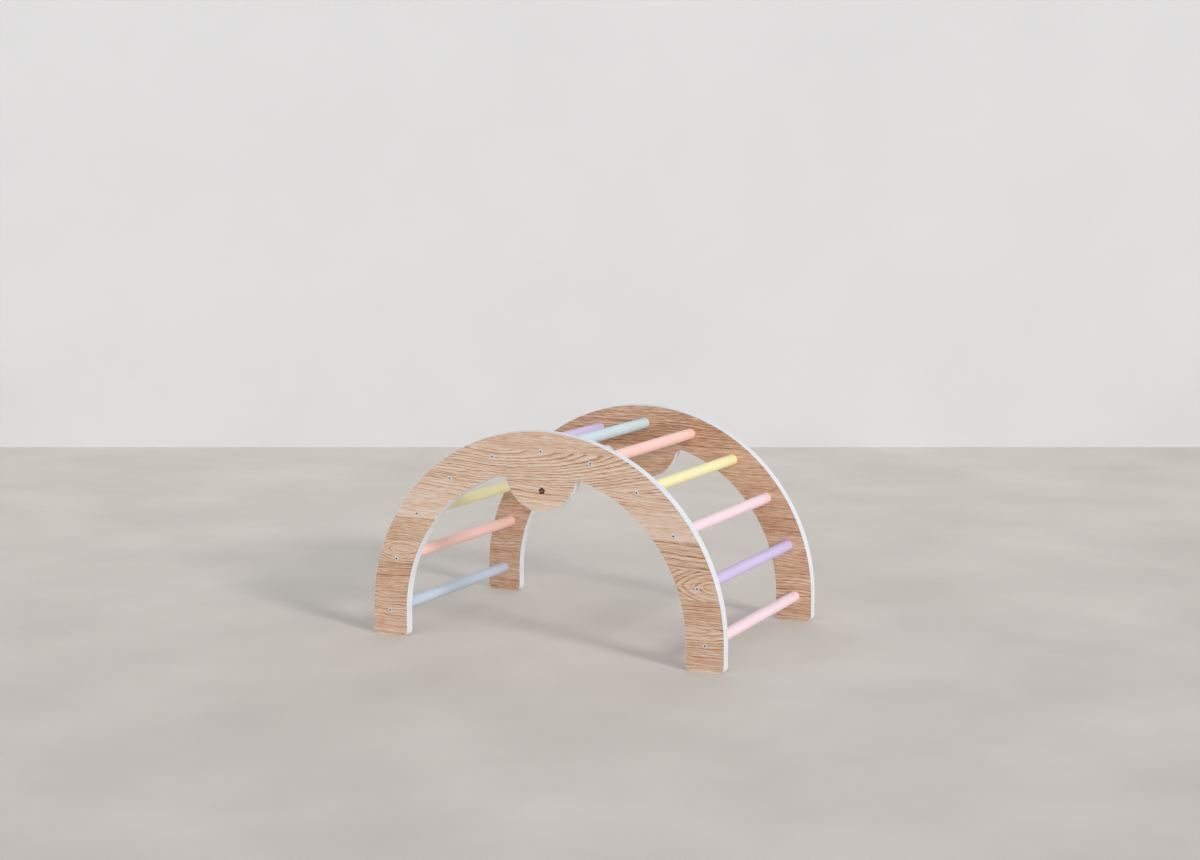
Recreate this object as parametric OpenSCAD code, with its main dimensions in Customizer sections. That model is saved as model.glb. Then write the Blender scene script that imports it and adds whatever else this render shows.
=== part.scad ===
// Rocker arch for small children: two half-round side boards with oak faces and
// white lacquered edges, joined by painted round rungs that are screwed in from outside.
//
// Frame: X runs along the arch, Y from the front board to the back board, Z up.
// The origin lies on the floor, below the middle of the arch.

/* [Arch] */
// Radius of the half circle on which the rungs sit
rung_circle_r = 420; // [400:1:440]
// Height of the half circle's centre above the floor
centre_height = 62.5; // [50:0.5:80]
// Width of the board outside the rung circle
band_outside = 47; // [46:1:55]
// Width of the board inside the rung circle
band_inside = 49; // [49:1:55]
// Clear distance between the two side boards
clear_span = 556; // [400:2:700]

/* [Side boards] */
// Thickness of a side board with its two oak faces
board_t = 24; // [20:0.5:27]
// Radius of the rounding along both edges of a board
edge_round = 0.8; // [0.4:0.1:3]
// Radius of the corners of the feet, seen from the front
foot_corner_r = 14; // [8:1:25]
// Radius of the round lobe that hangs in the middle of the inner edge
lobe_r = 94; // [84:1:94]
// How far the lobe hangs below the inner edge
lobe_drop = 94.5; // [94:0.5:100]
// Radius of the hollow corners on both sides of the lobe
notch_r = 18; // [12:1:24]

/* [Oak faces] */
// Thickness of the oak face
veneer_t = 0.6; // [0.4:0.1:1]
// Width of the flat white line between the rounding and the oak face
white_line = 0.2; // [0.1:0.1:3]

/* [Rungs] */
// Number of rungs, from one foot over the top to the other
rung_count = 11; // [11]
// Diameter of a rung
rung_d = 28; // [25:1:32]
// Depth of the blind seat that holds the end of a rung
seat_depth = 8; // [4:0.5:10]
// Chamfer on the ends of a rung
rung_chamfer = 1; // [0.5:0.1:2]

/* [Screws and inserts] */
// Diameter of the screw's shank
screw_d = 6; // [6:0.5:7]
// Length of the screw over its countersunk head
screw_length = 45; // [40:1:60]
// Diameter of the countersunk head
head_d = 12; // [11:0.5:13]
// Width of the hexagonal socket across its flats
socket_width = 4; // [3:0.5:4]
// Depth of the hexagonal socket
socket_depth = 2.4; // [1.5:0.1:2.5]
// Outer diameter of the threaded insert
insert_d = 10; // [10:0.5:12]
// Length of the threaded insert
insert_length = 15; // [12:1:20]
// Width of the screwdriver slot across the insert's mouth
slot_width = 1.4; // [1:0.1:2]
// Depth of that slot
slot_depth = 2.2; // [1:0.1:3]

/* [Clearances] */
// Gap around a rung in its seat, and behind its end
seat_gap = 0.1; // [0.05:0.05:0.3]
// Gap around the head and the edge of the oak face
close_gap = 0.05; // [0.02:0.01:0.2]
// Gap around the shank in its drilled hole
drill_gap = 0.25; // [0.1:0.05:0.5]

/* [Hidden] */
$fn = 96;

white_lacquer = "#e9e9ea";
oak = "#caab94";
zinc = "#b9bcc0";
brass = "#c9a75b";
blue = "#b9c8d8";
aqua = "#c4dcde";
coral = "#f8c3bb";
yellow = "#f4eeb4";
pink = "#f9dfe8";
lilac = "#d7c5ef";

outer_r = rung_circle_r + band_outside;
inner_r = rung_circle_r - band_inside;
leg_length = centre_height - foot_corner_r;
lobe_centre = inner_r - lobe_drop + lobe_r;
veneer_margin = edge_round + white_line;
rung_step = 180 / (rung_count - 1);

// The hollow corner touches both the inner edge of the arch and the lobe, so its
// centre lies where two circles around their centres meet.
from_arch = inner_r - notch_r;
from_lobe = lobe_r + notch_r;
notch_y = (pow(from_arch, 2) - pow(from_lobe, 2) + pow(lobe_centre, 2)) / (2 * lobe_centre);
notch_x = sqrt(pow(from_arch, 2) - pow(notch_y, 2));
notch_from_arch = atan2(notch_y, notch_x);
notch_from_lobe = atan2(notch_y - lobe_centre, notch_x);
notch_fill = 2.5 * notch_r;
// The hollow is cut a little deeper than the circle that only touches, so that it
// crosses both edges cleanly.
notch_bite = 0.15;

rung_length = clear_span + 2 * (seat_depth - seat_gap);
rung_end = rung_length / 2;
outer_face = clear_span / 2 + board_t;
head_h = (head_d - screw_d) / 2;
screw_tip = outer_face - screw_length;
screw_chamfer = 0.8;
insert_sunk = 0.5;
insert_chamfer = 0.6;
drill_beyond = 4;
cut = 1;

// Section of a board, from near to far across it and through its thickness t
module section(near, far, t, round, round_near, round_far) {
    difference() {
        translate([near, 0])
            square([far - near, t]);
        if (round_near) edges_waste(near, t, round, 0);
        if (round_far) edges_waste(far, t, round, 1);
    }
}

// What the roundings take off both corners of a section's side
module edges_waste(side, t, round, far_side) {
    if (round > 0)
        for (face = [0, 1])
            translate([side, face * t])
                mirror([far_side, face])
                    edge_waste(round);
}

// What one rounding takes off a corner that lies at the origin
module edge_waste(round) {
    difference() {
        translate([-cut, -cut])
            square(round + cut);
        translate([round, round])
            circle(round);
    }
}

// Sweeps a section around a centre in the board's plane
module sweep(centre, from, to) {
    translate([centre.x, centre.y, 0])
        rotate([0, 0, from])
            rotate_extrude(angle = to - from)
                children();
}

// Carries a section straight on, downwards where turn is 0
module run(start, turn, length) {
    translate([start.x, start.y, 0])
        rotate([90, 0, turn])
            linear_extrude(length)
                children();
}

// Right half of a board: band, leg, rounded foot and half of the lobe. The corner
// between the band and the lobe is filled, and then hollowed out in a round.
module half_board(inset, t, round) {
    outer = outer_r - inset;
    inner = inner_r + inset;
    corner = foot_corner_r - inset;
    foot_y = foot_corner_r - centre_height;
    foot_inside = inner_r + foot_corner_r;
    foot_outside = outer_r - foot_corner_r;
    difference() {
        union() {
            sweep([0, 0], 0, 90)
                section(inner, outer, t, round, true, true);
            run([0, 0], 0, leg_length)
                section(inner, outer, t, round, true, true);
            sweep([foot_outside, foot_y], -90, 0)
                section(0, corner, t, round, false, true);
            sweep([foot_inside, foot_y], 180, 270)
                section(0, corner, t, round, false, true);
            run([foot_outside, foot_y], -90, foot_outside - foot_inside)
                section(0, corner, t, round, false, true);
            sweep([0, lobe_centre], -90, 90)
                section(0, lobe_r - inset, t, round, false, true);
            sweep([notch_x, notch_y], notch_from_arch, notch_from_lobe + 180)
                section(0, notch_fill, t, 0, false, false);
        }
        translate([notch_x, notch_y, 0])
            notch_hollow(notch_r + notch_bite + inset, t, round);
    }
}

// Round hole through a board, with both its edges rounded
module notch_hollow(radius, t, round) {
    rotate_extrude() {
        translate([0, -cut])
            square([radius, t + 2 * cut]);
        edges_waste(radius, t, round, 0);
    }
}

// Board of thickness t, inset all round from the full outline
module board(inset, t, round) {
    half_board(inset, t, round);
    mirror([1, 0, 0])
        half_board(inset, t, round);
}

// Turns the board's plane upright: its y goes up and its z towards the front
module upright() {
    translate([0, 0, centre_height])
        rotate([90, 0, 0])
            children();
}

// Puts a child on the front board's inner face, or mirrored on the back board's
module on_side(back) {
    upright()
        mirror([0, 0, back])
            translate([0, 0, clear_span / 2])
                children();
}

// Place of one rung on the half circle, the first at the left foot
module at_rung(index) {
    angle = 180 - index * rung_step;
    translate([rung_circle_r * cos(angle), rung_circle_r * sin(angle), 0])
        children();
}

module at_all_rungs() {
    for (index = [0:rung_count - 1])
        at_rung(index)
            children();
}

// Blind seats for the rungs, open at the inner face
module rung_seats() {
    at_all_rungs()
        translate([0, 0, -cut])
            cylinder(h = seat_depth + cut, d = rung_d + 2 * seat_gap);
}

// Drilled and countersunk holes for the screws, open at the outer face
module screw_holes() {
    at_all_rungs() {
        cylinder(h = board_t, d = screw_d + 2 * drill_gap);
        translate([0, 0, board_t - head_h])
            cylinder(h = head_h + cut,
                     r1 = screw_d / 2 + close_gap,
                     r2 = head_d / 2 + close_gap + cut);
    }
}

// Side board without its oak faces, which lie flush in both sides
module panel() {
    color(white_lacquer)
        difference() {
            board(0, board_t, edge_round);
            for (z = [-cut, board_t - veneer_t])
                translate([0, 0, z])
                    board(veneer_margin - close_gap, veneer_t + cut, 0);
            rung_seats();
            screw_holes();
        }
}

module outer_veneer() {
    color(oak)
        difference() {
            translate([0, 0, board_t - veneer_t])
                board(veneer_margin, veneer_t, 0);
            screw_holes();
        }
}

module inner_veneer() {
    color(oak)
        difference() {
            board(veneer_margin, veneer_t, 0);
            rung_seats();
        }
}

// Round rung with chamfered ends, bored for an insert and a screw at both ends
module rung(index, paint) {
    color(paint)
        upright()
            at_rung(index)
                difference() {
                    chamfered_rod(rung_end, rung_d / 2, rung_chamfer);
                    for (back = [0, 1])
                        mirror([0, 0, back])
                            end_bore();
                }
}

// Rod of half length reach, centred on the origin, with both ends chamfered
module chamfered_rod(reach, radius, chamfer) {
    for (end = [0, 1])
        mirror([0, 0, end]) {
            cylinder(h = reach - chamfer, r = radius);
            translate([0, 0, reach - chamfer])
                cylinder(h = chamfer, r1 = radius, r2 = radius - chamfer);
        }
}

// Stepped bore in the end of a rung: wide for the insert, narrow for the screw's tip
module end_bore() {
    insert_room = insert_sunk + insert_length + seat_gap;
    translate([0, 0, rung_end - insert_room])
        cylinder(h = insert_room + cut, d = insert_d + 2 * close_gap);
    translate([0, 0, screw_tip - drill_beyond])
        cylinder(h = rung_end - screw_tip + drill_beyond, d = screw_d + 2 * drill_gap);
}

// Countersunk screw with a hexagonal socket, its tip towards the rung
module screw() {
    shank = screw_length - head_h - screw_chamfer;
    difference() {
        union() {
            translate([0, 0, -head_h])
                cylinder(h = head_h, d1 = screw_d, d2 = head_d);
            translate([0, 0, -head_h - shank])
                cylinder(h = shank, d = screw_d);
            translate([0, 0, -screw_length])
                cylinder(h = screw_chamfer, d1 = screw_d - 2 * screw_chamfer, d2 = screw_d);
        }
        translate([0, 0, -socket_depth])
            cylinder(h = socket_depth + cut, d = socket_width / cos(30), $fn = 6);
    }
}

module screws() {
    color(zinc)
        at_all_rungs()
            translate([0, 0, board_t])
                screw();
}

// Threaded insert, slotted across its mouth, with a tapered far end
module insert() {
    difference() {
        union() {
            translate([0, 0, insert_chamfer - insert_length])
                cylinder(h = insert_length - insert_chamfer, d = insert_d);
            translate([0, 0, -insert_length])
                cylinder(h = insert_chamfer, d1 = insert_d - 2 * insert_chamfer, d2 = insert_d);
        }
        translate([0, 0, -insert_length - cut])
            cylinder(h = insert_length + 2 * cut, d = screw_d + 2 * close_gap);
        translate([-insert_d, -slot_width / 2, -slot_depth])
            cube([2 * insert_d, slot_width, slot_depth + cut]);
    }
}

module inserts() {
    color(brass)
        at_all_rungs()
            translate([0, 0, seat_depth - seat_gap - insert_sunk])
                insert();
}

module front_panel() { on_side(0) panel(); }
module back_panel() { on_side(1) panel(); }
module front_outer_veneer() { on_side(0) outer_veneer(); }
module front_inner_veneer() { on_side(0) inner_veneer(); }
module back_outer_veneer() { on_side(1) outer_veneer(); }
module back_inner_veneer() { on_side(1) inner_veneer(); }
module rung_01() { rung(0, blue); }
module rung_02() { rung(1, coral); }
module rung_03() { rung(2, yellow); }
module rung_04() { rung(3, pink); }
module rung_05() { rung(4, lilac); }
module rung_06() { rung(5, aqua); }
module rung_07() { rung(6, coral); }
module rung_08() { rung(7, yellow); }
module rung_09() { rung(8, pink); }
module rung_10() { rung(9, lilac); }
module rung_11() { rung(10, pink); }
module front_screws() { on_side(0) screws(); }
module back_screws() { on_side(1) screws(); }
module front_inserts() { on_side(0) inserts(); }
module back_inserts() { on_side(1) inserts(); }

front_panel();
back_panel();
front_outer_veneer();
front_inner_veneer();
back_outer_veneer();
back_inner_veneer();
rung_01();
rung_02();
rung_03();
rung_04();
rung_05();
rung_06();
rung_07();
rung_08();
rung_09();
rung_10();
rung_11();
front_screws();
back_screws();
front_inserts();
back_inserts();
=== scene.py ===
"""Rocker arch for small children: finishes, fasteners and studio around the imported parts.

Lengths are in metres, in the frame of the parts: X runs along the arch, Y from the front
board to the back board, Z up, with the origin on the floor below the middle of the arch.
"""

import logging
import math
from dataclasses import dataclass
from enum import Enum
from functools import cache
from typing import Callable, Sequence

import bmesh
import bpy
from bpy.types import Material, Node, NodeSocket, NodeTree, Object
from mathutils import Matrix, Vector


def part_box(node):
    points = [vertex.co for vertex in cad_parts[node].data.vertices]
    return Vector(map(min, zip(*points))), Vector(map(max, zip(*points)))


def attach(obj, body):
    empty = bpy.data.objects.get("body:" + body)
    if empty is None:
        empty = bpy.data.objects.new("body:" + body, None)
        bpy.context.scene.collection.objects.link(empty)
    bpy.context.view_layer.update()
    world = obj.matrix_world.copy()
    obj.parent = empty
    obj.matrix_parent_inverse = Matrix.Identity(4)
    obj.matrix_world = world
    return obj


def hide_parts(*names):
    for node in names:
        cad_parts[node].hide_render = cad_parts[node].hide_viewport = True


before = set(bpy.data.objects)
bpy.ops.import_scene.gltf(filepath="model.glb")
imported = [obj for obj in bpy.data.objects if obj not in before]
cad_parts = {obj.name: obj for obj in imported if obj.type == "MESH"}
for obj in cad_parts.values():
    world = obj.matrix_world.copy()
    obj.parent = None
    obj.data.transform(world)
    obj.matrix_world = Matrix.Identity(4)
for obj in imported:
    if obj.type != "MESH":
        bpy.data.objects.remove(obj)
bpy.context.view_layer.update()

LOG = logging.getLogger("rocker_arch")
BODY = "root"
MM = 0.001
# Less than any distance between two edges of a piece.
HAIR = 0.01 * MM
# Corners of a part's mesh that lie closer together than this are one.
WELD = 0.001 * MM
# The direction in which the camera looks and the studio is turned, in degrees from Y.
VIEW_YAW = 26.02


# ---------------------------------------------------------------------------
# Colours and shader nodes
# ---------------------------------------------------------------------------

def linear(hex_colour: str) -> tuple[float, float, float, float]:
    """Turns an sRGB hex colour into linear light.

    Args:
        hex_colour: The colour as "#rrggbb".

    Returns:
        Red, green, blue and an alpha of one.
    """
    channels = [int(hex_colour[at:at + 2], 16) / 255 for at in (1, 3, 5)]
    light = [c / 12.92 if c <= 0.04045 else ((c + 0.055) / 1.055) ** 2.4 for c in channels]
    return light[0], light[1], light[2], 1.0


def add_node(tree: NodeTree, kind: str, settings: dict | None = None, links: dict | None = None,
             stops: Sequence | None = None, output: int | str = 0) -> NodeSocket:
    """Adds a node with its settings and links.

    Args:
        tree: The node tree that gets the node.
        kind: The node's type, without the "ShaderNode" in front.
        settings: Values by the name or number of an input, or by the name of a property.
        links: Output sockets by the name or number of the input that they feed.
        stops: Positions and colours of a colour ramp.
        output: Name or number of the output that is wanted.

    Returns:
        That output socket, ready to be linked.
    """
    node = tree.nodes.new("ShaderNode" + kind)
    for key, value in (settings or {}).items():
        if isinstance(key, str) and key not in node.inputs:
            setattr(node, key, value)
    for key, value in (settings or {}).items():
        if isinstance(key, int) or key in node.inputs:
            node.inputs[key].default_value = value
    for key, source in (links or {}).items():
        tree.links.new(source, node.inputs[key])
    if stops:
        ramp = node.color_ramp.elements
        while len(ramp) < len(stops):
            ramp.new(1.0)
        for element, (position, colour) in zip(ramp, stops):
            element.position = position
            element.color = colour
    return node.outputs[output]


def grey(value: float) -> tuple[float, float, float, float]:
    """Returns a grey of that linear value."""
    return value, value, value, 1.0


class Finish:
    """What the finishes share: a material that starts out with a plain surface shader."""

    name: str

    def dress(self, tree: NodeTree, surface: Node) -> dict[str, NodeSocket]:
        """Adds this finish's own nodes; every finish has its own.

        Args:
            tree: The material's node tree.
            surface: Its surface shader.

        Returns:
            What feeds the surface shader, by the name of the input.
        """
        raise NotImplementedError

    @cache
    def material(self) -> Material:
        """Makes the material once, and returns the same one after that.

        Returns:
            The material, with this finish's nodes.
        """
        made = bpy.data.materials.new(f"{self.name}_finish")
        made.use_nodes = True
        surface = made.node_tree.nodes["Principled BSDF"]
        for name, source in self.dress(made.node_tree, surface).items():
            made.node_tree.links.new(source, surface.inputs[name])
        return made

    def cover(self, piece: Object) -> None:
        """Puts this finish all over a piece."""
        piece.data.materials.clear()
        piece.data.materials.append(self.material())


# ---------------------------------------------------------------------------
# Finishes
# ---------------------------------------------------------------------------

# Further left than the arch reaches.
FAR_LEFT = -9.0


@dataclass(frozen=True)
class VeneerLeaf:
    """One leaf of sliced oak in a face, and how its growth rings were cut.

    A leaf fills the face from its bottom and left side on, up to where a later leaf starts.
    Its rings are nested, pointed ovals around the heart, which taper off to both sides.

    Attributes:
        bottom: Height of its lower edge.
        heart: Where the middle of the rings lies, along the arch and in height.
        taper: How fast the rings close to the left and to the right, as a slope.
        ring: Width of one ring.
        figure: How strongly the rings show.
        streaks: How strongly the fibres show.
        tone: How dark the leaf is, from 0 to 1.
        left: Where it starts along the arch; without it the leaf has no left edge.
    """

    bottom: float
    heart: tuple[float, float]
    taper: tuple[float, float]
    ring: float
    figure: float
    streaks: float
    tone: float
    left: float = FAR_LEFT


# How the rings bend: waves per metre along X, Y and Z, and the span of their push. The rings
# wander by some 10 mm over the length of a hand, and by 2 mm over half a finger's.
RING_BENDS = (((5.0, 1.0, 11.0), 16 * MM), ((26.0, 1.0, 64.0), 5 * MM))
# With a power of 2 the rings are ovals, and with 1 they are diamonds.
FLAME_POWER = 1.5
# From the start of a year's ring to its end: earlywood, its fading, latewood and the next year.
RING_TONES = ((0.0, 1.0), (0.14, 0.70), (0.40, 0.14), (0.88, 0.0), (1.0, 1.0))
# Waves per metre and strength. Fibres are 0.1 mm thick; they are drawn as streaks of 1 to 3 mm,
# so that they show. The third row is the slow change of tone across a leaf.
FIBRES = (((12.0, 1.0, 400.0), 0.53), ((44.0, 1.0, 620.0), 0.65), ((4.0, 1.0, 22.0), 0.32))
# Waves per metre, and strength in latewood and in earlywood, where pores are closest. They are
# 0.3 mm wide and 4 mm long. They stand in rows, which are drawn 1.5 mm thick, so that they show
# from afar.
PORES = (((190.0, 1.0, 2600.0), 0.14, 0.55), ((30.0, 1.0, 600.0), 0.16, 0.50))
# A joint is a dark line with a pale one above it: how far above the joint, and how dark. They
# are drawn 1 mm wide, several times their own width, so that they show.
JOINT_LINES = ((-0.5 * MM, 0.18), (0.6 * MM, -0.16))
JOINT_HALF_WIDTH = 0.55 * MM
# How far each leaf's pattern lies from that of the leaf before it.
LEAF_SHIFT = 2.7
# How much darker the earlywood is than the latewood.
EARLY_DARK = 0.6


@dataclass(frozen=True)
class OakVeneer(Finish):
    """Crown-cut white oak veneer under matt lacquer.

    Its growth rings draw flames where the slice nears the heart and straight lines beside
    it. The eye sees soft brown rings, short dark pores and a low, even sheen.
    """

    name: str
    leaves: tuple[VeneerLeaf, ...]
    start: float
    pale: str = "#ebdbce"
    honey: str = "#dbbda5"
    brown: str = "#c69978"
    pore: str = "#8d6347"

    def dress(self, tree: NodeTree, surface: Node) -> dict[str, NodeSocket]:
        """Adds rings, fibres, pores and the joints between the leaves.

        Args:
            tree: The material's node tree.
            surface: Its surface shader.

        Returns:
            What feeds the surface shader, by the name of the input.
        """
        place = add_node(tree, "TexCoord", output="Object")
        x = add_node(tree, "SeparateXYZ", links={0: place}, output="X")
        z = add_node(tree, "SeparateXYZ", links={0: place}, output="Z")
        heart, taper, look = self.leaf_values(tree, x, z)
        shifted = add_node(tree, "VectorMath", {"operation": "ADD"},
                           {0: place, 1: add_node(tree, "CombineXYZ", links={
                               "X": add_node(tree, "SeparateXYZ", links={0: look}, output="Z")})})
        early = self.rings(tree, x, z, shifted, heart, taper)
        dark = self.fibres(tree, shifted, early, look)
        joints = self.joints(tree, z)
        dark = add_node(tree, "Math", {"operation": "ADD", "use_clamp": True}, {0: dark, 1: joints})
        colour = add_node(tree, "ValToRGB", links={0: dark}, stops=[
            (0.0, linear(self.pale)), (0.3, linear(self.honey)),
            (0.6, linear(self.brown)), (1.0, linear(self.pore))])
        height = add_node(tree, "Math", {"operation": "MULTIPLY", 1: -1.0}, {0: dark})
        bump = add_node(tree, "Bump", {"Strength": 0.35, "Distance": 0.12 * MM}, {"Height": height})
        rough = add_node(tree, "MapRange", {"To Min": 0.44, "To Max": 0.62}, {0: dark})
        surface.inputs["IOR"].default_value = 1.48
        return {"Base Color": colour, "Roughness": rough, "Normal": bump}

    def leaf_values(self, tree: NodeTree, x: NodeSocket, z: NodeSocket) -> tuple[NodeSocket, ...]:
        """Picks the leaf at a point.

        Args:
            tree: The material's node tree.
            x: Place along the arch.
            z: Height above the floor.

        Returns:
            Three vectors: heart x, heart z and ring width; left taper, right taper and
            strength of figure; tone, strength of the streaks and shift of the pattern.
        """
        chosen: list[NodeSocket | None] = [None, None, None]
        for number, leaf in enumerate(self.leaves):
            inside = add_node(tree, "Math", {"operation": "MULTIPLY"}, {
                0: add_node(tree, "Math", {"operation": "GREATER_THAN", 1: leaf.bottom}, {0: z}),
                1: add_node(tree, "Math", {"operation": "GREATER_THAN", 1: leaf.left}, {0: x})})
            values = ((leaf.heart[0], leaf.heart[1], leaf.ring),
                      (leaf.taper[0], leaf.taper[1], leaf.figure),
                      (leaf.tone, leaf.streaks, self.start + LEAF_SHIFT * number))
            for at, value in enumerate(values):
                below = {4: chosen[at]} if chosen[at] else {}
                chosen[at] = add_node(tree, "Mix", {"data_type": "VECTOR", 5: value},
                                      {0: inside, **below}, output=1)
        return tuple(chosen)

    def rings(self, tree: NodeTree, x: NodeSocket, z: NodeSocket, shifted: NodeSocket,
              heart: NodeSocket, taper: NodeSocket) -> NodeSocket:
        """Draws the growth rings of the leaf at a point.

        Args:
            tree: The material's node tree.
            x: Place along the arch.
            z: Height above the floor.
            shifted: The place, moved on by a leaf's own shift.
            heart: Heart x, heart z and ring width.
            taper: Left taper, right taper and strength of figure.

        Returns:
            How much of the wood there is dark earlywood, from 0 to 1.
        """
        heart_x, heart_z, ring = (
            add_node(tree, "SeparateXYZ", links={0: heart}, output=axis) for axis in "XYZ")
        left, right, figure = (
            add_node(tree, "SeparateXYZ", links={0: taper}, output=axis) for axis in "XYZ")
        bend = z
        for scale, amount in RING_BENDS:
            wave = add_node(tree, "TexNoise", {"Scale": 1.0, "Detail": 1.0}, {0: add_node(
                tree, "VectorMath", {"operation": "MULTIPLY", 1: scale}, {0: shifted})})
            wave = add_node(tree, "Math", {"operation": "SUBTRACT", 1: 0.5}, {0: wave})
            bend = add_node(tree, "Math", {"operation": "MULTIPLY_ADD", 1: amount},
                            {0: wave, 2: bend})
        rise = add_node(tree, "Math", {"operation": "SUBTRACT"}, {0: bend, 1: heart_z})
        along = add_node(tree, "Math", {"operation": "SUBTRACT"}, {0: x, 1: heart_x})
        sides = []
        for way, slope in ((-1.0, left), (1.0, right)):
            aside = add_node(tree, "Math", {"operation": "MULTIPLY", 1: way}, {0: along})
            aside = add_node(tree, "Math", {"operation": "MAXIMUM", 1: 0.0}, {0: aside})
            sides.append(add_node(tree, "Math", {"operation": "MULTIPLY"}, {0: aside, 1: slope}))
        drift = add_node(tree, "Math", {"operation": "ADD"}, {0: sides[0], 1: sides[1]})
        rise = add_node(tree, "Math", {"operation": "ABSOLUTE"}, {0: rise})
        rise, drift = (add_node(tree, "Math", {"operation": "POWER", 1: FLAME_POWER}, {0: way})
                       for way in (rise, drift))
        reach = add_node(tree, "Math", {"operation": "ADD"}, {0: rise, 1: drift})
        reach = add_node(tree, "Math", {"operation": "POWER", 1: 1 / FLAME_POWER}, {0: reach})
        count = add_node(tree, "Math", {"operation": "DIVIDE"}, {0: reach, 1: ring})
        # Where the slice lies in the heart ring itself, the wood is pale and the rings fade.
        clear = add_node(tree, "MapRange", {"From Min": 0.3, "From Max": 2.6, "To Min": 0.2},
                         {0: count})
        # Good and lean years: the width of the rings changes from one to the next.
        years = add_node(tree, "TexNoise", {"noise_dimensions": "1D", "Scale": 0.45, "Detail": 1.0},
                         {"W": count})
        count = add_node(tree, "Math", {"operation": "MULTIPLY_ADD", 1: 1.5}, {0: years, 2: count})
        phase = add_node(tree, "Math", {"operation": "FRACT"}, {0: count})
        year = add_node(tree, "Math", {"operation": "FLOOR"}, {0: count})
        vigour = add_node(tree, "TexWhiteNoise", {"noise_dimensions": "1D"}, {"W": year})
        early = add_node(tree, "ValToRGB", links={0: phase},
                         stops=[(part, grey(dark)) for part, dark in RING_TONES])
        strong = add_node(tree, "MapRange", {"To Min": 0.45, "To Max": 1.0}, {0: vigour})
        early = add_node(tree, "Math", {"operation": "MULTIPLY"}, {0: early, 1: strong})
        early = add_node(tree, "Math", {"operation": "MULTIPLY"}, {0: early, 1: clear})
        return add_node(tree, "Math", {"operation": "MULTIPLY"}, {0: early, 1: figure})

    def fibres(self, tree: NodeTree, shifted: NodeSocket, early: NodeSocket,
               look: NodeSocket) -> NodeSocket:
        """Adds the fibres, pores and slow changes of tone to the rings.

        Args:
            tree: The material's node tree.
            shifted: The place, moved on by a leaf's own shift.
            early: How much of the wood is earlywood.
            look: Tone, strength of the streaks and shift.

        Returns:
            How dark the wood is, from 0 to 1.
        """
        tone = add_node(tree, "SeparateXYZ", links={0: look}, output="X")
        strength = add_node(tree, "SeparateXYZ", links={0: look}, output="Y")
        dark = add_node(tree, "Math", {"operation": "MULTIPLY_ADD", 1: EARLY_DARK},
                        {0: early, 2: tone})
        for scale, amount in FIBRES:
            streak = add_node(tree, "TexNoise", {"Scale": 1.0, "Detail": 2.0}, {0: add_node(
                tree, "VectorMath", {"operation": "MULTIPLY", 1: scale}, {0: shifted})})
            streak = add_node(tree, "Math", {"operation": "SUBTRACT", 1: 0.5}, {0: streak})
            share = add_node(tree, "Math", {"operation": "MULTIPLY", 1: amount}, {0: strength})
            dark = add_node(tree, "Math", {"operation": "MULTIPLY_ADD"},
                            {0: streak, 1: share, 2: dark})
        for scale, least, most in PORES:
            pores = add_node(tree, "TexNoise", {"Scale": 1.0, "Detail": 1.0}, {0: add_node(
                tree, "VectorMath", {"operation": "MULTIPLY", 1: scale}, {0: shifted})})
            # Only the peaks of the noise are pores.
            pores = add_node(tree, "MapRange", {"From Min": 0.57, "From Max": 0.67}, {0: pores})
            share = add_node(tree, "MapRange", {"To Min": least, "To Max": most}, {0: early})
            dark = add_node(tree, "Math", {"operation": "MULTIPLY_ADD"},
                            {0: pores, 1: share, 2: dark})
        return dark

    def joints(self, tree: NodeTree, z: NodeSocket) -> NodeSocket:
        """Draws each joint between two leaves as a dark hair line with a pale one above it.

        Args:
            tree: The material's node tree.
            z: Height above the floor.

        Returns:
            How much darker or paler the wood is there.
        """
        total = None
        for height in sorted({leaf.bottom for leaf in self.leaves if leaf.bottom > 0}):
            for rise, change in JOINT_LINES:
                line = add_node(tree, "Math", {
                    "operation": "COMPARE", 1: height + rise, 2: JOINT_HALF_WIDTH}, {0: z})
                line = add_node(tree, "Math", {"operation": "MULTIPLY", 1: change}, {0: line})
                if total:
                    line = add_node(tree, "Math", {"operation": "ADD"}, {0: total, 1: line})
                total = line
        return total


@dataclass(frozen=True)
class WhiteLacquer(Finish):
    """Sprayed satin white lacquer on sanded board edges: cool white, with a fine orange peel."""

    name: str = "white_lacquer"
    white: str = "#e0e6ed"
    shade: str = "#dae1e9"

    def dress(self, tree: NodeTree, surface: Node) -> dict[str, NodeSocket]:
        """Adds slow changes of tone and the texture of the spray.

        Args:
            tree: The material's node tree.
            surface: Its surface shader; not used.

        Returns:
            What feeds the surface shader, by the name of the input.
        """
        place = add_node(tree, "TexCoord", output="Object")
        cloud = add_node(tree, "TexNoise", {"Scale": 14.0, "Detail": 2.0}, {0: place})
        colour = add_node(tree, "ValToRGB", links={0: cloud}, stops=[
            (0.35, linear(self.shade)), (0.65, linear(self.white))])
        # Orange peel has humps of 1 to 2 mm.
        peel = add_node(tree, "TexNoise", {"Scale": 700.0, "Detail": 1.0}, {0: place})
        bump = add_node(tree, "Bump", {"Strength": 0.12, "Distance": 0.05 * MM}, {"Height": peel})
        rough = add_node(tree, "MapRange", {"To Min": 0.30, "To Max": 0.42}, {0: cloud})
        return {"Base Color": colour, "Roughness": rough, "Normal": bump}


class Pastel(Enum):
    """The colours of the rungs."""

    BLUE = "#c0cfdf"
    CORAL = "#fbd0c8"
    YELLOW = "#f5f0ba"
    PINK = "#f5dce6"
    LILAC = "#cfc3eb"
    AQUA = "#c8dfe6"


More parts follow.
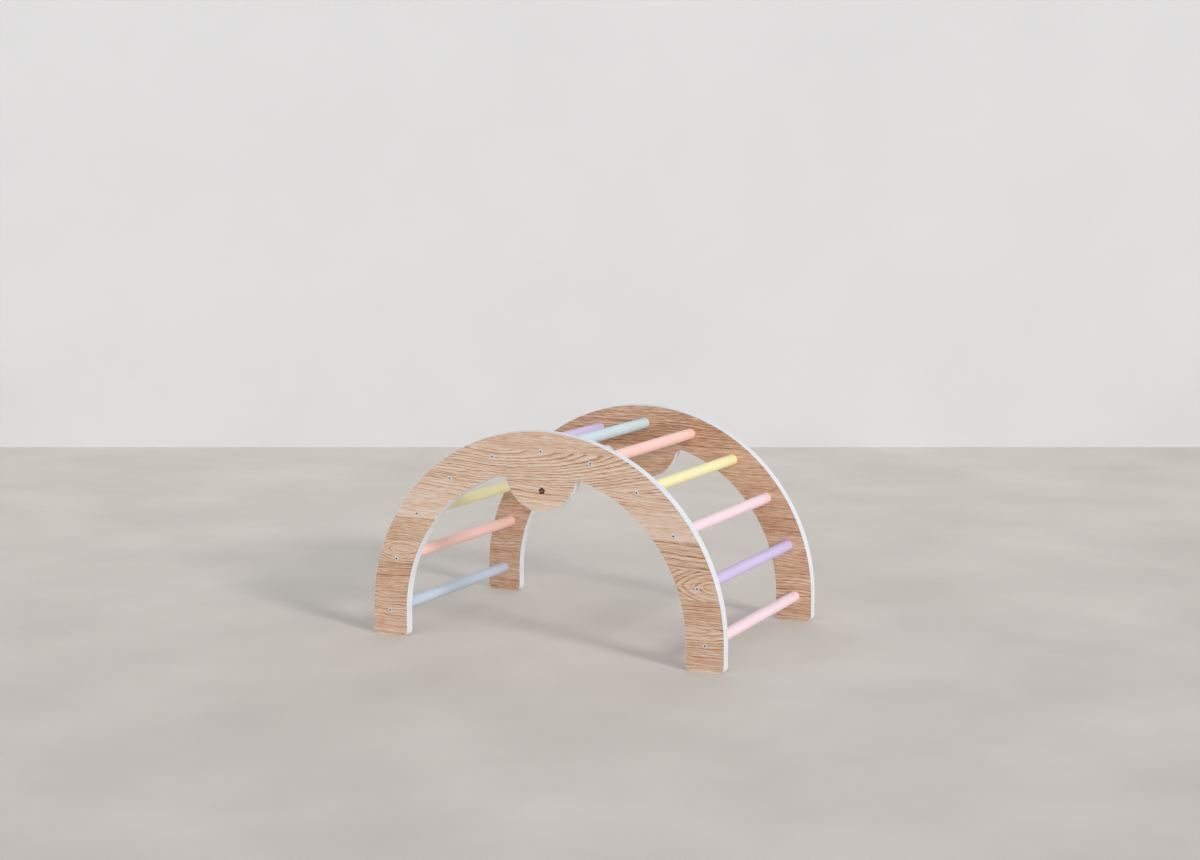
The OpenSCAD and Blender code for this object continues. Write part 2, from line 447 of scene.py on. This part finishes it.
@dataclass(frozen=True)
class SatinPaint(Finish):
    """Water-based satin paint on turned beech: the fibres along the rod show a little."""

    pastel: Pastel

    @property
    def name(self) -> str:
        """Name of the material, after its colour."""
        return f"paint_{self.pastel.name.lower()}"

    def dress(self, tree: NodeTree, surface: Node) -> dict[str, NodeSocket]:
        """Adds the raised fibres, the paint's own skin and small changes of tone.

        Args:
            tree: The material's node tree.
            surface: Its surface shader; not used.

        Returns:
            What feeds the surface shader, by the name of the input.
        """
        place = add_node(tree, "TexCoord", output="Object")
        # Raised fibres run along the rod, 0.5 mm thick and a few centimetres long.
        along = add_node(tree, "VectorMath", {"operation": "MULTIPLY", 1: (1300.0, 26.0, 1300.0)},
                         {0: place})
        fibre = add_node(tree, "TexNoise", {"Scale": 1.0, "Detail": 2.0}, {0: along})
        cloud = add_node(tree, "TexNoise", {"Scale": 11.0, "Detail": 2.0}, {0: place})
        mixed = add_node(tree, "Math", {"operation": "MULTIPLY_ADD", 1: 0.35}, {0: fibre, 2: cloud})
        tint = add_node(tree, "MapRange", {"From Min": 0.4, "From Max": 1.0, "To Min": 0.96,
                                           "To Max": 1.03}, {0: mixed})
        colour = add_node(tree, "HueSaturation", {"Color": linear(self.pastel.value)},
                          {"Value": tint})
        peel = add_node(tree, "TexNoise", {"Scale": 900.0, "Detail": 1.0}, {0: place})
        skin = add_node(tree, "Math", {"operation": "MULTIPLY_ADD", 1: 0.5}, {0: peel, 2: fibre})
        bump = add_node(tree, "Bump", {"Strength": 0.16, "Distance": 0.05 * MM}, {"Height": skin})
        rough = add_node(tree, "MapRange", {"To Min": 0.40, "To Max": 0.52}, {0: cloud})
        return {"Base Color": colour, "Roughness": rough, "Normal": bump}


@dataclass(frozen=True)
class PlatedMetal(Finish):
    """Barrel-plated steel or turned brass: bright, with a fine tumbled grain."""

    name: str
    bright: str
    dull: str
    rough: tuple[float, float]

    def dress(self, tree: NodeTree, surface: Node) -> dict[str, NodeSocket]:
        """Adds the tumbled grain to the colour, the gloss and the surface.

        Args:
            tree: The material's node tree.
            surface: Its surface shader.

        Returns:
            What feeds the surface shader, by the name of the input.
        """
        place = add_node(tree, "TexCoord", output="Object")
        # Tumbling leaves marks of a few tenths of a millimetre.
        marks = add_node(tree, "TexNoise", {"Scale": 2600.0, "Detail": 3.0}, {0: place})
        colour = add_node(tree, "ValToRGB", links={0: marks}, stops=[
            (0.3, linear(self.dull)), (0.7, linear(self.bright))])
        gloss = add_node(tree, "MapRange", {"To Min": self.rough[0], "To Max": self.rough[1]},
                         {0: marks})
        bump = add_node(tree, "Bump", {"Strength": 0.1, "Distance": 0.02 * MM}, {"Height": marks})
        surface.inputs["Metallic"].default_value = 1.0
        return {"Base Color": colour, "Roughness": gloss, "Normal": bump}


@dataclass(frozen=True)
class ScorchedOak(Finish):
    """Oak burnt with a fine beam: dark brown, matt, with the fibres still to be felt."""

    name: str = "scorched_oak"
    deep: str = "#3b2a25"
    edge: str = "#5a4038"

    def dress(self, tree: NodeTree, surface: Node) -> dict[str, NodeSocket]:
        """Adds burnt fibres along the grain.

        Args:
            tree: The material's node tree.
            surface: Its surface shader.

        Returns:
            What feeds the surface shader, by the name of the input.
        """
        place = add_node(tree, "TexCoord", output="Object")
        fine = add_node(tree, "VectorMath", {"operation": "MULTIPLY", 1: (180.0, 1.0, 2200.0)},
                        {0: place})
        fibre = add_node(tree, "TexNoise", {"Scale": 1.0, "Detail": 2.0}, {0: fine})
        colour = add_node(tree, "ValToRGB", links={0: fibre}, stops=[
            (0.35, linear(self.deep)), (0.7, linear(self.edge))])
        bump = add_node(tree, "Bump", {"Strength": 0.3, "Distance": 0.08 * MM}, {"Height": fibre})
        surface.inputs["Roughness"].default_value = 0.8
        return {"Base Color": colour, "Normal": bump}


@dataclass(frozen=True)
class StudioGround(Finish):
    """Plain pale ground, very slightly clouded, such as a sealed screed or a painted wall."""

    name: str
    light: str
    dark: str
    roughness: float

    def dress(self, tree: NodeTree, surface: Node) -> dict[str, NodeSocket]:
        """Adds soft clouds half a metre or so across.

        Args:
            tree: The material's node tree.
            surface: Its surface shader.

        Returns:
            What feeds the surface shader, by the name of the input.
        """
        place = add_node(tree, "TexCoord", output="Object")
        cloud = add_node(tree, "TexNoise", {"Scale": 2.0, "Detail": 5.0}, {0: place})
        colour = add_node(tree, "ValToRGB", links={0: cloud}, stops=[
            (0.3, linear(self.dark)), (0.7, linear(self.light))])
        surface.inputs["Roughness"].default_value = self.roughness
        return {"Base Color": colour}


# ---------------------------------------------------------------------------
# Modelling by operators
# ---------------------------------------------------------------------------

def start(name: str, add: Callable, **size: object) -> Object:
    """Adds a primitive with nothing else selected, and opens it in edit mode.

    Args:
        name: Name of the piece.
        add: The primitive's operator.
        size: What the operator is told.

    Returns:
        The new object.
    """
    bpy.ops.object.select_all(action="DESELECT")
    add(**size)
    piece = bpy.context.object
    piece.name = piece.data.name = name
    bpy.ops.object.mode_set(mode="EDIT")
    bpy.ops.mesh.select_all(action="DESELECT")
    return piece


def pick(kind: str, test: Callable[[Vector], bool]) -> None:
    """Selects the open piece's faces or edges by their middle.

    Args:
        kind: "FACE" or "EDGE".
        test: Says of a face's or edge's middle whether it is wanted.
    """
    bpy.ops.mesh.select_mode(type=kind)
    bpy.ops.mesh.select_all(action="DESELECT")
    mesh = bmesh.from_edit_mesh(bpy.context.object.data)
    if kind == "FACE":
        for face in mesh.faces:
            face.select_set(test(face.calc_center_median()))
    else:
        for edge in mesh.edges:
            edge.select_set(test((edge.verts[0].co + edge.verts[1].co) / 2))
    mesh.select_flush_mode()
    bmesh.update_edit_mesh(bpy.context.object.data)


def scale_to(share: float, height: float) -> None:
    """Scales what is selected around the Z axis, at that height."""
    bpy.ops.transform.resize(value=(share, share, 1.0), center_override=(0.0, 0.0, height))


def close(piece: Object) -> Object:
    """Leaves edit mode, and returns the piece."""
    bpy.ops.object.mode_set(mode="OBJECT")
    return piece


def activate(piece: Object) -> None:
    """Selects a piece alone, and makes it the active one.

    Args:
        piece: The piece to work on.
    """
    bpy.ops.object.select_all(action="DESELECT")
    piece.select_set(True)
    bpy.context.view_layer.objects.active = piece


def modify(piece: Object, kind: str, **settings: object) -> None:
    """Adds a modifier with its settings and applies it.

    Args:
        piece: The object that gets it.
        kind: The modifier's type.
        settings: Its properties.
    """
    activate(piece)
    modifier = piece.modifiers.new(kind.title(), kind)
    for key, value in settings.items():
        setattr(modifier, key, value)
    bpy.ops.object.modifier_apply(modifier=modifier.name)


def cut_with(piece: Object, tool: Object, operation: str) -> None:
    """Cuts a piece with a tool, or joins them, and removes the tool.

    Args:
        piece: The object that stays.
        tool: The object that cuts or is joined.
        operation: "DIFFERENCE" or "UNION".
    """
    modify(piece, "BOOLEAN", operation=operation, object=tool, solver="EXACT",
           material_mode="TRANSFER")
    bpy.data.objects.remove(tool)


def smooth(piece: Object, degrees: float = 35.0) -> None:
    """Shades a piece smooth, apart from edges sharper than that angle."""
    activate(piece)
    bpy.ops.object.shade_smooth_by_angle(angle=math.radians(degrees))


def copy_to(master: Object, name: str, place: Matrix) -> Object:
    """Copies a piece with a mesh of its own.

    Args:
        master: The piece to copy.
        name: Name of the copy.
        place: Where the copy goes; it ends up in the mesh.

    Returns:
        The copy.
    """
    copy = bpy.data.objects.new(name, master.data.copy())
    copy.data.name = name
    copy.data.transform(place)
    bpy.context.scene.collection.objects.link(copy)
    return copy


def report(piece: Object) -> None:
    """Reports a finished piece."""
    LOG.info("%-22s %6d faces, %s", piece.name, len(piece.data.polygons),
             ", ".join(m.name for m in piece.data.materials))


# ---------------------------------------------------------------------------
# The object's sub-assemblies
# ---------------------------------------------------------------------------

def middle(node: str) -> Vector:
    """Returns the middle of a construction node's box."""
    low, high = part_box(node)
    return (low + high) / 2


def rung_names() -> list[str]:
    """Returns the names of the rungs, from the left foot over the top."""
    return sorted(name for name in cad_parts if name.startswith("rung_"))


class Side(Enum):
    """The two side boards, with the direction from the middle of the arch to each."""

    FRONT = -1
    BACK = 1

    @property
    def word(self) -> str:
        """Name of the side, as the nodes have it."""
        return self.name.lower()


# Leaves of the outer faces, from the feet up; the legs differ where the rings show most.
OUTER_LEAVES = (
    VeneerLeaf(0.0000, (-0.428, 0.106), (0.20, 0.11), 5.4 * MM, 1.00, 1.2, 0.24),
    VeneerLeaf(0.0000, (0.385, 0.098), (0.12, 0.14), 5.4 * MM, 1.15, 1.4, 0.26, left=0.0),
    VeneerLeaf(0.1060, (0.000, 0.020), (0.04, 0.03), 5.6 * MM, 1.15, 1.2, 0.285),
    VeneerLeaf(0.1835, (-0.384, 0.217), (0.36, 0.26), 5.6 * MM, 0.70, 1.3, 0.26),
    VeneerLeaf(0.1660, (0.436, 0.199), (0.44, 0.40), 7.4 * MM, 0.95, 1.2, 0.24, left=0.0),
    VeneerLeaf(0.2340, (0.300, 0.060), (0.05, 0.06), 6.6 * MM, 1.25, 1.2, 0.25, left=0.0),
    VeneerLeaf(0.2990, (0.500, 0.560), (0.09, 0.09), 6.0 * MM, 0.30, 1.0, 0.10),
    VeneerLeaf(0.3640, (0.500, 0.520), (0.10, 0.10), 6.4 * MM, 0.85, 1.0, 0.09),
    VeneerLeaf(0.4015, (-0.105, 0.4845), (0.12, 0.17), 6.0 * MM, 1.20, 0.9, 0.11),
    VeneerLeaf(0.4825, (0.100, 0.330), (0.02, 0.02), 4.6 * MM, 0.50, 1.1, 0.23),
)

# Leaves of the inner faces, browner and calmer.
INNER_LEAVES = (
    VeneerLeaf(0.0000, (0.000, -0.090), (0.03, 0.03), 5.0 * MM, 0.70, 1.5, 0.32),
    VeneerLeaf(0.0700, (-0.700, 0.020), (0.05, 0.05), 6.0 * MM, 0.60, 1.3, 0.36),
    VeneerLeaf(0.0700, (0.440, 0.030), (0.22, 0.30), 7.2 * MM, 1.00, 1.2, 0.32, left=0.0),
    VeneerLeaf(0.1250, (-0.250, 0.120), (0.06, 0.05), 5.2 * MM, 0.60, 1.4, 0.35),
    VeneerLeaf(0.2150, (0.100, 0.460), (0.06, 0.05), 6.4 * MM, 0.70, 1.4, 0.43),
    VeneerLeaf(0.3050, (0.250, 0.100), (0.04, 0.05), 5.4 * MM, 0.50, 1.4, 0.35),
    VeneerLeaf(0.4250, (0.300, 0.520), (0.06, 0.08), 6.0 * MM, 1.00, 1.6, 0.42),
    VeneerLeaf(0.4900, (0.060, 0.420), (0.05, 0.05), 6.0 * MM, 0.80, 1.6, 0.42),
)


@dataclass(frozen=True)
class SideBoard:
    """A side board: the lacquered panel and the oak faces let into both its sides.

    Attributes:
        side: Which of the two boards it is.
        outer_start: Start of the outer face's pattern; the boards take it with opposite signs.
        inner_start: The same for the inner face.
    """

    side: Side
    outer_start: float = 5.1
    inner_start: float = 9.4

    def finish(self) -> None:
        """Gives the board's nodes their finishes."""
        word = self.side.word
        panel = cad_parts[f"{word}_panel"]
        WhiteLacquer().cover(panel)
        report(panel)
        for place in ("outer", "inner"):
            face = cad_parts[f"{word}_{place}_veneer"]
            self.oak(place).cover(face)
            report(face)

    def oak(self, place: str) -> OakVeneer:
        """Chooses the oak of a face; each face has its own pattern.

        Args:
            place: "outer" or "inner".

        Returns:
            The finish.
        """
        if place == "outer":
            leaves, start = OUTER_LEAVES, self.outer_start
        else:
            leaves, start = INNER_LEAVES, self.inner_start
        return OakVeneer(f"oak_{self.side.word}_{place}", leaves, start * self.side.value)


@dataclass(frozen=True)
class LobeBlossom:
    """A plain five-petalled blossom, burnt into the lobe of the front board.

    Attributes:
        centre: Its middle, along the arch and in height.
        petals: Number of petals.
        petal_r: Radius of a petal.
        petal_out: How far a petal's middle lies from the blossom's.
        heart_r: Radius of the heart, which is left standing.
        depth: How deep it is burnt in.
        first_turn: Turn of the first petal, as a share of the angle between two.
        facets: Sides of a petal, of the disc between the petals and of the heart.
    """

    centre: tuple[float, float] = (3 * MM, 389 * MM)
    petals: int = 5
    petal_r: float = 3.7 * MM
    petal_out: float = 4.8 * MM
    heart_r: float = 1.3 * MM
    depth: float = 0.25 * MM
    first_turn: float = 0.25
    facets: tuple[int, int, int] = (40, 30, 24)

    def burn(self, oak: OakVeneer) -> None:
        """Sinks the blossom into a copy of the front oak face, which then stands for it.

        Args:
            oak: The face's finish.
        """
        face = copy_to(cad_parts["front_outer_veneer"], "front_outer_face", Matrix())
        activate(face)
        bpy.ops.mesh.customdata_custom_splitnormals_clear()
        bpy.ops.object.mode_set(mode="EDIT")
        bpy.ops.mesh.select_all(action="SELECT")
        bpy.ops.mesh.remove_doubles(threshold=WELD)
        close(face)
        oak.cover(face)
        cut_with(face, self.tool(), "DIFFERENCE")
        smooth(face)
        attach(face, BODY)
        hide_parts("front_outer_veneer")
        report(face)

    def tool(self) -> Object:
        """Makes the tool that sinks the blossom, and leaves its heart standing.

        Returns:
            The tool, at its place in the lobe.
        """
        petal_sides, between_sides, heart_sides = self.facets
        petal = self.disc("petal", self.petal_r, petal_sides, self.petal_out)
        # The first petal is turned a little, so that the second one points straight up.
        turns = [Matrix.Rotation(math.tau * (n + self.first_turn) / self.petals, 4, "Z")
                 for n in range(self.petals)]
        tool = copy_to(petal, "blossom_tool", turns[0])
        for number, turn in enumerate(turns[1:]):
            cut_with(tool, copy_to(petal, f"petal_{number}", turn), "UNION")
        cut_with(tool, self.disc("between", self.petal_out, between_sides, 0.0), "UNION")
        cut_with(tool, self.disc("heart", self.heart_r, heart_sides, 0.0), "DIFFERENCE")
        bpy.data.objects.remove(petal)
        ScorchedOak().cover(tool)
        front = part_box("front_outer_veneer")[0].y
        tool.data.transform(Matrix.Translation((self.centre[0], front, self.centre[1]))
                            @ Matrix.Rotation(math.radians(90), 4, "X"))
        return tool

    def disc(self, name: str, radius: float, sides: int, out: float) -> Object:
        """Adds a disc that is twice as thick as the blossom is deep.

        Args:
            name: Name of the disc.
            radius: Its radius.
            sides: Its number of facets.
            out: How far out along X it lies.

        Returns:
            The disc.
        """
        disc = start(name, bpy.ops.mesh.primitive_cylinder_add, vertices=sides, radius=radius,
                     depth=2 * self.depth, location=(out, 0.0, 0.0))
        close(disc)
        bpy.ops.object.transform_apply(location=True, rotation=True, scale=True)
        return disc


@dataclass(frozen=True)
class Rungs:
    """The eleven painted rungs, from the left foot over the top to the right foot."""

    pastels: tuple[Pastel, ...] = (
        Pastel.BLUE, Pastel.CORAL, Pastel.YELLOW, Pastel.PINK, Pastel.LILAC, Pastel.AQUA,
        Pastel.CORAL, Pastel.YELLOW, Pastel.PINK, Pastel.LILAC, Pastel.PINK)

    def paint(self) -> None:
        """Paints every rung in its own colour."""
        for name, pastel in zip(rung_names(), self.pastels, strict=True):
            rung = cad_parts[name]
            paint = SatinPaint(pastel)
            paint.cover(rung)
            paint.name
            report(rung)


ZINC = PlatedMetal("zinc_plated_steel", "#f5f5f4", "#e2e3e5", (0.34, 0.50))
# Near-black steel for the socket's walls and floor: painted shade, standing in for the shade deep
# in the recess.
SOCKET_PAINTED_SHADE = PlatedMetal("socket_painted_shade", "#2c2d2f", "#1d1e1f", (0.5, 0.65))
BRASS = PlatedMetal("insert_brass", "#d8b76c", "#b8923f", (0.22, 0.36))


@dataclass(frozen=True)
class SocketScrew:
    """Countersunk screw with a hexagonal socket and a rolled thread, head up at the origin.

    Attributes:
        length: Length over all.
        head_r: Radius of the head.
        shank_r: Radius of the shank, and of the thread over its crests.
        socket_width: Width of the socket across its flats.
        socket_depth: Depth of the socket's walls.
        point_depth: How far the drill's point goes below them.
        point_share: Width of that point at its end, as a share of its start.
        socket_land: Flat ring between the walls and that point.
        pitch: Distance from one turn of the thread to the next.
        thread_depth: How deep the thread is.
        foot_width: Width of the thread's rib at its foot, in pitches.
        crest_width: Width of the rib at its crest, in pitches.
        foot_sunk: How deep the rib's foot lies in the core, so that both join cleanly.
        thread_steps: Facets in one turn of the rib.
        plain_length: Shank without a thread.
        runout: Length over which the shank narrows to the core.
        thread_start: Where the rib starts below the plain shank.
        tip: Length of the chamfer on the tip.
        tip_share: Width of the tip's end, as a share of the core.
        rim_bevel: Bevel around the head.
        sides: Facets around the screw.
    """

    length: float
    head_r: float
    shank_r: float = 3.0 * MM
    socket_width: float = 4.0 * MM
    socket_depth: float = 2.4 * MM
    point_depth: float = 0.6 * MM
    point_share: float = 0.1
    socket_land: float = 0.3 * MM
    pitch: float = 1.0 * MM
    thread_depth: float = 0.55 * MM
    foot_width: float = 0.84
    crest_width: float = 0.12
    foot_sunk: float = 0.2 * MM
    thread_steps: int = 20
    plain_length: float = 16.0 * MM
    runout: float = 0.4 * MM
    thread_start: float = 1.2 * MM
    tip: float = 0.6 * MM
    tip_share: float = 0.75
    rim_bevel: float = 0.28 * MM
    sides: int = 48

    def model(self) -> Object:
        """Models the whole screw.

        Returns:
            The screw, with its finishes.
        """
        head_h = self.head_r - self.shank_r
        core_r = self.shank_r - self.thread_depth
        screw = start("screw", bpy.ops.mesh.primitive_cylinder_add, vertices=self.sides,
                      radius=self.head_r, depth=head_h, location=(0.0, 0.0, -head_h / 2))
        # In edit mode the mesh is still around the primitive's own middle.
        top, bottom = head_h / 2, -head_h / 2
        pick("FACE", lambda at: at.z < bottom + HAIR)
        scale_to(self.shank_r / self.head_r, -head_h)
        self.extrude(self.plain_length)
        self.extrude(self.runout)
        scale_to(core_r / self.shank_r, 0.0)
        self.extrude(self.length - head_h - self.plain_length - self.runout - self.tip)
        self.extrude(self.tip)
        scale_to(self.tip_share, 0.0)
        # The edges around the head.
        pick("EDGE", lambda at: at.z > top - HAIR and at.xy.length > 0.9 * self.head_r)
        bpy.ops.mesh.bevel(offset=self.rim_bevel, segments=3, affect="EDGES")
        close(screw)
        bpy.ops.object.transform_apply(location=True, rotation=True, scale=True)
        ZINC.cover(screw)
        cut_with(screw, self.thread(), "UNION")
        cut_with(screw, self.socket_tool(), "DIFFERENCE")
        # The rim's facets stay sharp, so that the flat head doesn't look domed.
        smooth(screw, 30.0)
        return screw

    def extrude(self, length: float) -> None:
        """Extrudes what is selected downwards."""
        bpy.ops.mesh.extrude_region_move(TRANSFORM_OT_translate={"value": (0.0, 0.0, -length)})

    def thread(self) -> Object:
        """Models the thread as one closed rib that winds around the core.

        Returns:
            The rib, which is still to be joined to the screw.
        """
        top = -(self.head_r - self.shank_r) - self.plain_length - self.thread_start
        # The last two turns stay away, so that the rib ends before the tip.
        turns = int((self.length + top) / self.pitch) - 2
        foot = self.shank_r - self.thread_depth - self.foot_sunk
        across = (foot + self.shank_r) / 2
        rib = start("screw_thread", bpy.ops.mesh.primitive_plane_add, size=self.shank_r - foot,
                    rotation=(math.radians(90), 0.0, 0.0), location=(across, 0.0, top))
        # The plane's inner edge becomes the rib's foot, and its outer edge the crest.
        for outer, width in ((False, self.foot_width), (True, self.crest_width)):
            pick("EDGE", lambda at, side=outer: abs(at.x) > 0.1 * MM and (at.x > 0) == side)
            share = width * self.pitch / (self.shank_r - foot)
            bpy.ops.transform.resize(value=(1.0, 1.0, share),
                                     center_override=(across, 0.0, top))
        close(rib)
        bpy.ops.object.transform_apply(location=True, rotation=True, scale=True)
        modify(rib, "SCREW", angle=-math.tau, steps=self.thread_steps,
               render_steps=self.thread_steps, iterations=turns, screw_offset=-self.pitch)
        bpy.ops.object.mode_set(mode="EDIT")
        bpy.ops.mesh.select_all(action="SELECT")
        bpy.ops.mesh.fill_holes(sides=4)
        bpy.ops.mesh.select_all(action="SELECT")
        bpy.ops.mesh.normals_make_consistent(inside=False)
        return close(rib)

    def socket_tool(self) -> Object:
        """Models the tool that cuts the hexagonal socket, with its drilled point.

        Returns:
            The tool, in the near-black finish that paints shade into the socket.
        """
        radius = self.socket_width / math.sqrt(3)
        tool = start("socket_tool", bpy.ops.mesh.primitive_cylinder_add, vertices=6,
                     radius=radius, depth=2 * self.socket_depth, location=(0.0, 0.0, 0.0))
        pick("FACE", lambda at: at.z < -0.9 * self.socket_depth)
        bpy.ops.mesh.inset(thickness=self.socket_land)
        self.extrude(self.point_depth)
        scale_to(self.point_share, 0.0)
        # The socket's faces keep this near-black steel: painted shade in the recess.
        SOCKET_PAINTED_SHADE.cover(close(tool))
        return tool


@dataclass(frozen=True)
class Fasteners:
    """The screws on one side of the arch, one at each rung.

    Attributes:
        side: The board that they hold.
        turn_each: How much further each one was driven home than the last, in degrees.
    """

    side: Side
    turn_each: float = 47.0

    def fit(self, master: Object) -> None:
        """Puts a copy of the screw at each rung.

        Args:
            master: The screw, head up at the origin.
        """
        word = self.side.word
        low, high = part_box(f"{word}_screws")
        face = low.y if self.side is Side.FRONT else high.y
        outwards = Matrix.Rotation(math.radians(90 if self.side is Side.FRONT else -90), 4, "X")
        for number, rung in enumerate(rung_names(), 1):
            at = middle(rung)
            # Each screw was driven home at its own angle.
            turn = Matrix.Rotation(math.radians(self.turn_each * number), 4, "Z")
            place = Matrix.Translation((at.x, face, at.z)) @ outwards @ turn
            screw = copy_to(master, f"{word}_screw_{number:02d}", place)
            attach(screw, BODY)
            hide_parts(f"{word}_screws")
            report(screw)


# ---------------------------------------------------------------------------
# Studio
# ---------------------------------------------------------------------------

@dataclass(frozen=True)
class StudioCamera:
    """The camera, at the photograph's viewing angle."""

    place: tuple[float, float, float] = (2.0715, -4.2285, 1.1188)
    yaw: float = VIEW_YAW
    down: float = 7.52
    lens: float = 57.54
    sensor: float = 36.0

    def build(self) -> None:
        """Adds the camera and makes it the scene's."""
        camera = bpy.data.objects.new("camera", bpy.data.cameras.new("camera"))
        camera.data.lens = self.lens
        camera.data.sensor_width = self.sensor
        camera.location = self.place
        camera.rotation_euler = (math.radians(90 - self.down), 0.0, math.radians(self.yaw))
        bpy.context.scene.collection.objects.link(camera)
        bpy.context.scene.camera = camera


@dataclass(frozen=True)
class Lamp:
    """A wide lamp far away: where it stands, how strong it is and how soft its shadows are."""

    name: str
    stands: tuple[float, float, float]
    strength: float
    softness: float
    colour: str

    def build(self) -> None:
        """Adds the lamp."""
        lamp = bpy.data.objects.new(self.name, bpy.data.lights.new(self.name, "SUN"))
        lamp.data.energy = self.strength
        lamp.data.angle = math.radians(self.softness)
        lamp.data.color = linear(self.colour)[:3]
        lamp.rotation_mode = "QUATERNION"
        lamp.rotation_quaternion = Vector(self.stands).to_track_quat("Z", "Y")
        bpy.context.scene.collection.objects.link(lamp)


@dataclass(frozen=True)
class Studio:
    """Plain floor and wall with three lamps and an even sky.

    A low key light stands at the right, a weaker lamp at the left, and a wide one in front.

    Attributes:
        wall_distance: How far the wall stands behind the arch.
        width: Width of the floor and the wall.
        depth: Depth of the floor.
        wall_height: Height of the wall.
        yaw: Turn of the room, so that the wall faces the camera.
        floor: Finish of the floor.
        wall: Finish of the wall.
        lamps: The three lamps.
        sky: Colour of the sky.
        sky_strength: Strength at which the sky lights the arch.
        background_strength: Strength at which the camera and the metal see it.
    """

    wall_distance: float = 3.22
    width: float = 26.0
    depth: float = 18.0
    wall_height: float = 7.0
    yaw: float = VIEW_YAW
    floor: StudioGround = StudioGround("studio_floor", "#ded9d2", "#cfcac3", 0.9)
    wall: StudioGround = StudioGround("studio_wall", "#d7d8da", "#d3d4d6", 0.9)
    lamps: tuple[Lamp, ...] = (
        Lamp("key_light", (1.00, -0.42, 0.45), 1.54, 12.0, "#fffbf6"),
        Lamp("side_light", (-1.00, 0.03, 0.50), 1.00, 3.5, "#ffffff"),
        Lamp("front_light", (0.75, -1.00, 0.04), 1.24, 60.0, "#fffdfb"))
    sky: str = "#f9fbff"
    sky_strength: float = 0.50
    background_strength: float = 0.9

    def build(self) -> None:
        """Builds the room and its light."""
        self.build_room()
        for lamp in self.lamps:
            lamp.build()
        self.build_sky()
        bpy.context.scene.view_settings.view_transform = "Standard"

    def build_room(self) -> None:
        """Builds the floor one metre wide, extrudes its far side into the wall, and widens both."""
        room = start("studio_room", bpy.ops.mesh.primitive_grid_add, x_subdivisions=2,
                     y_subdivisions=2, size=1.0)
        # The far edges lie half a metre from the middle, and the wall stands on them.
        pick("EDGE", lambda at: at.y > 0.49)
        bpy.ops.mesh.extrude_region_move(TRANSFORM_OT_translate={"value": (0.0, 0.0, 1.0)})
        close(room)
        size = Matrix.Diagonal((self.width, self.depth, self.wall_height, 1.0))
        ahead = Matrix.Translation((0.0, self.wall_distance - self.depth / 2, 0.0))
        room.data.transform(Matrix.Rotation(math.radians(self.yaw), 4, "Z") @ ahead @ size)
        room.data.materials.append(self.floor.material())
        room.data.materials.append(self.wall.material())
        # The floor's faces lie at zero, and the wall's above it.
        for face in room.data.polygons:
            face.material_index = int(face.center.z > 0.1)

    def build_sky(self) -> None:
        """Lights the room evenly from all round, and shows a plain pale world beyond it.

        The metal reflects that same pale world.
        """
        world = bpy.data.worlds.new("studio_sky")
        world.use_nodes = True
        bpy.context.scene.world = world
        tree = world.node_tree
        back = tree.nodes["Background"]
        back.inputs["Color"].default_value = linear(self.sky)
        ray = add_node(tree, "Math", {"operation": "MAXIMUM"}, {
            0: add_node(tree, "LightPath", output="Is Camera Ray"),
            1: add_node(tree, "LightPath", output="Is Glossy Ray")})
        strength = add_node(tree, "MapRange", {
            "To Min": self.sky_strength, "To Max": self.background_strength}, {0: ray})
        tree.links.new(strength, back.inputs["Strength"])


# ---------------------------------------------------------------------------
# Everything in order
# ---------------------------------------------------------------------------


def build_screws() -> None:
    """Models the screw once, from the construction's own sizes, and fits it everywhere."""
    low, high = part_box("front_screws")
    feet = [middle(name).x for name in (rung_names()[0], rung_names()[-1])]
    head_r = (high.x - low.x - (feet[1] - feet[0])) / 2
    master = SocketScrew(length=high.y - low.y, head_r=head_r).model()
    for side in Side:
        Fasteners(side).fit(master)
    bpy.data.objects.remove(master)


def dress_inserts() -> None:
    """Gives the threaded inserts inside the rungs their brass."""
    for side in Side:
        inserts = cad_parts[f"{side.word}_inserts"]
        BRASS.cover(inserts)
        report(inserts)


def main() -> None:
    """Builds the camera, the boards, the rungs, the fasteners and the studio, in that order."""
    logging.basicConfig(level=logging.INFO, format="%(message)s", force=True)
    StudioCamera().build()
    boards = [SideBoard(side) for side in Side]
    for board in boards:
        board.finish()
    LobeBlossom().burn(boards[0].oak("outer"))
    Rungs().paint()
    build_screws()
    dress_inserts()
    Studio().build()


if __name__ == "__main__":
    main()
